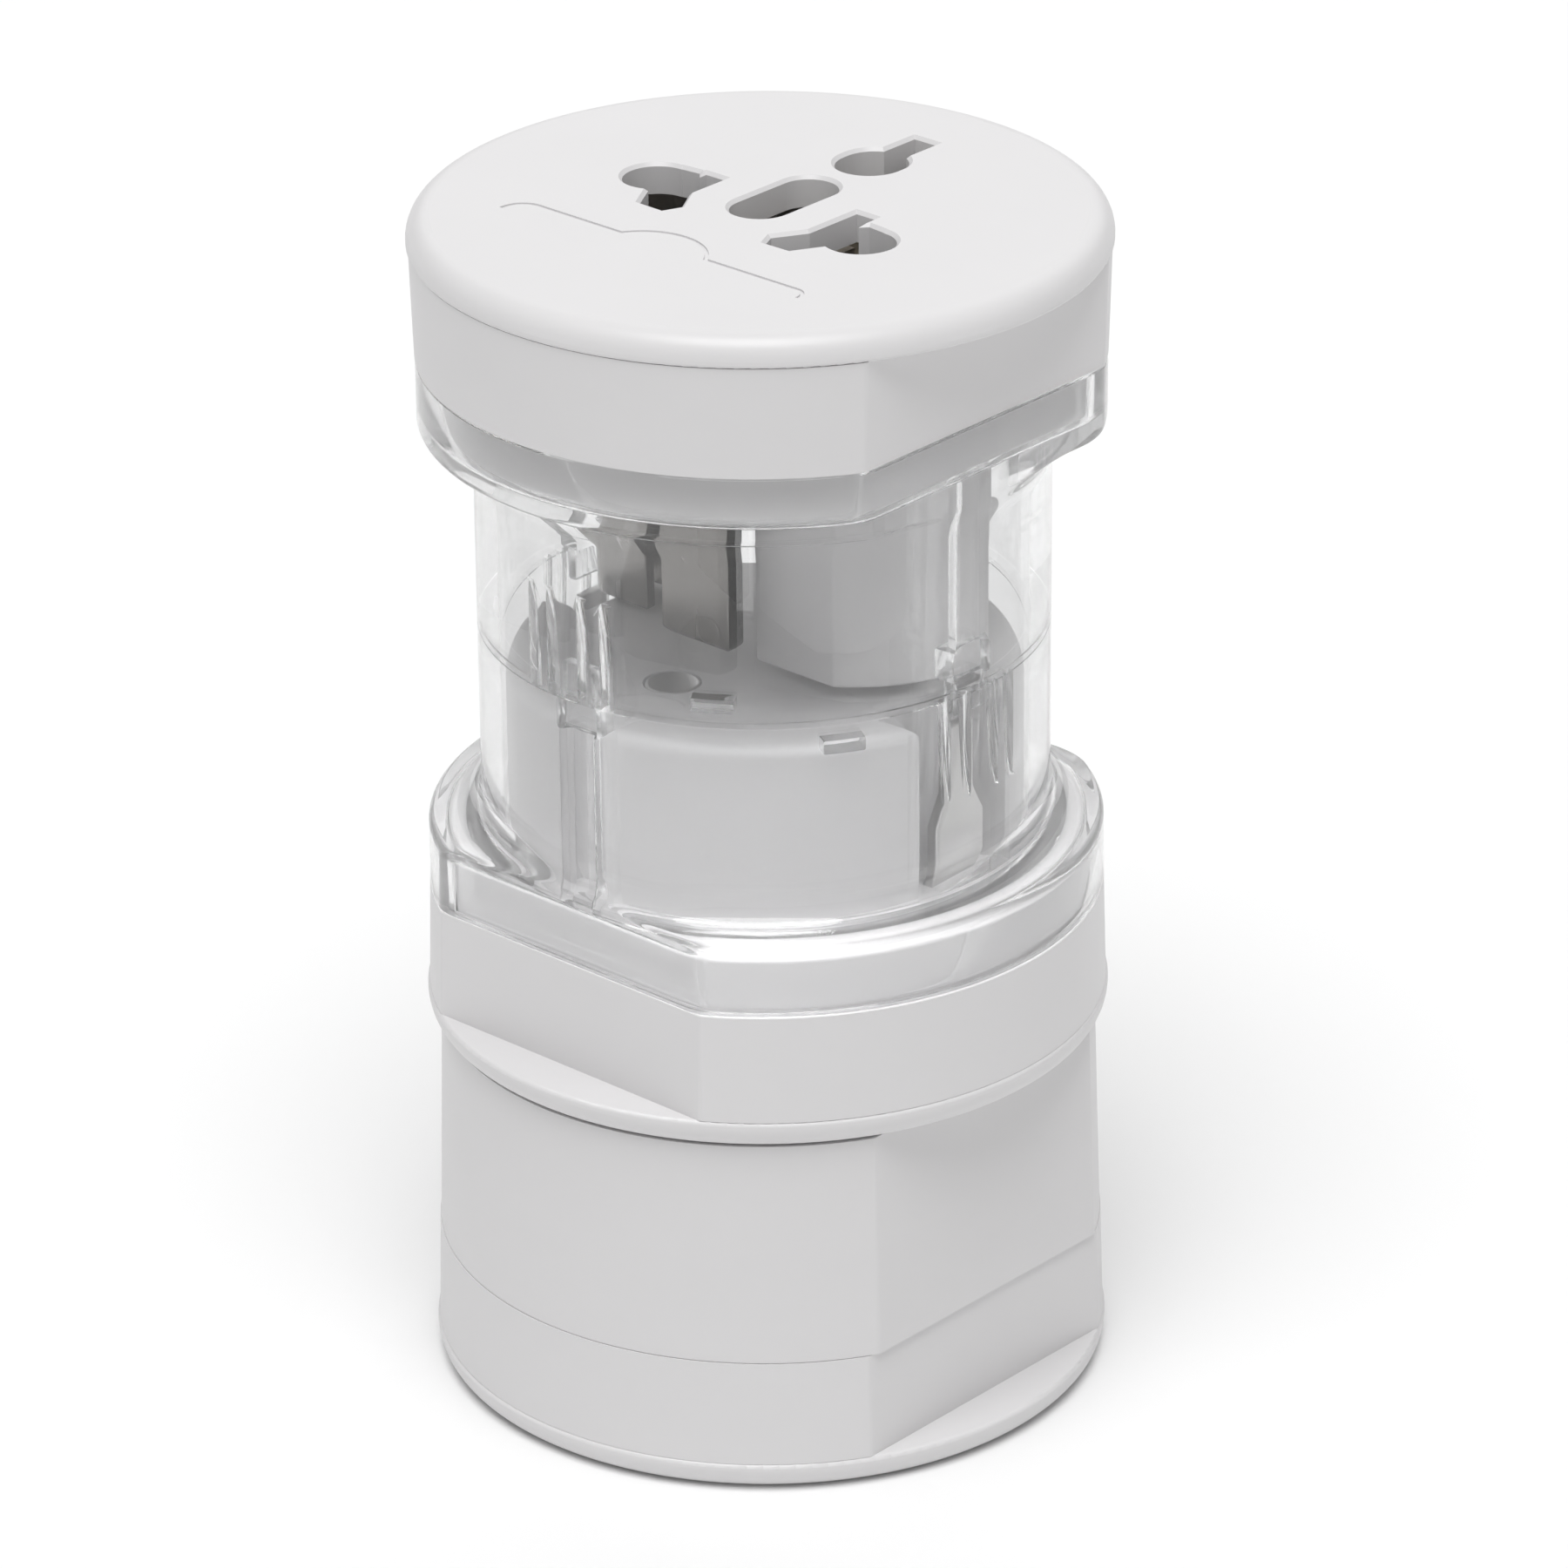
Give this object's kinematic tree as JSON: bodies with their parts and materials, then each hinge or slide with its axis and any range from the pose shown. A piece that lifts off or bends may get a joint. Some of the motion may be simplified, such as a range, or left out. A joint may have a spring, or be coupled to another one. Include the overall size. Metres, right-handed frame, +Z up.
{
  "type": "universal travel adapter",
  "caption": "Pocket stack of socket-faced plug adapters on one axis, joined by a clear split case, each with a round face, side flats and its own style of plug pins.",
  "frame": {"origin": "bottom centre of the stack, on the lower adapter's socket face", "axes": "+Z up the stack's axis, +X through the side flats of the upper and lower adapters, +Y towards the upper socket's earth hole"},
  "size_m": [0.049, 0.049, 0.088],
  "materials": {
    "white_shell": "satin",
    "white_base": "satin",
    "clear_case": "polished clear",
    "plated_blade": "nickel plated, bright",
    "plated_pin": "nickel plated, bright",
    "earth_clip": "nickel plated, satin",
    "brass_contact": "rolled strip",
    "steel_screw": "zinc plated",
    "grey_insulator": "moulded"
  },
  "bodies": {
    "lower_adapter": {"lower_socket_cap": "white_shell", "lower_plug_base": "white_base", "lower_blade_live": "plated_blade", "lower_blade_neutral": "plated_blade", "lower_blade_earth": "plated_blade", "lower_live_contact": "brass_contact", "lower_neutral_contact": "brass_contact", "lower_earth_contact": "brass_contact", "lower_screws": "steel_screw"},
    "cover": {"pin_cover": "white_shell"},
    "middle_adapter": {"middle_socket_cap": "white_shell", "middle_plug_body": "white_base", "middle_earth_clip_right": "earth_clip", "middle_earth_clip_left": "earth_clip", "middle_live_contact": "brass_contact", "middle_neutral_contact": "brass_contact", "middle_earth_contact": "brass_contact"},
    "euro_pins": {"euro_pin_live": "plated_pin", "euro_pin_neutral": "plated_pin", "euro_pin_carrier": "grey_insulator"},
    "lower_case": {"case_lower_half": "clear_case"},
    "upper_case": {"case_upper_half": "clear_case"},
    "upper_adapter": {"upper_socket_cap": "white_shell", "upper_plug_base": "white_base", "upper_blade_live": "plated_blade", "upper_blade_neutral": "plated_blade", "upper_ground_pin": "plated_blade", "upper_live_contact": "brass_contact", "upper_neutral_contact": "brass_contact", "upper_earth_contact": "brass_contact", "upper_stacking_block": "white_base", "upper_screws": "steel_screw"}
  },
  "joints": [
    {"name": "cover_pull", "type": "slide", "parent": "lower_adapter", "child": "cover", "axis": [0, 0, 1], "range_m": [0, 0.024]},
    {"name": "middle_adapter_pull", "type": "slide", "parent": "cover", "child": "middle_adapter", "axis": [0, 0, 1], "range_m": [0, 0.015]},
    {"name": "euro_pins_slide", "type": "slide", "parent": "middle_adapter", "child": "euro_pins", "axis": [0, 0, 1], "range_m": [0, 0.0168]},
    {"name": "lower_case_pull", "type": "slide", "parent": "middle_adapter", "child": "lower_case", "axis": [0, 0, 1], "range_m": [0, 0.024]},
    {"name": "upper_case_pull", "type": "slide", "parent": "lower_case", "child": "upper_case", "axis": [0, 0, 1], "range_m": [0, 0.015]},
    {"name": "upper_adapter_pull", "type": "slide", "parent": "upper_case", "child": "upper_adapter", "axis": [0, 0, 1], "range_m": [0, 0.026]}
  ]
}
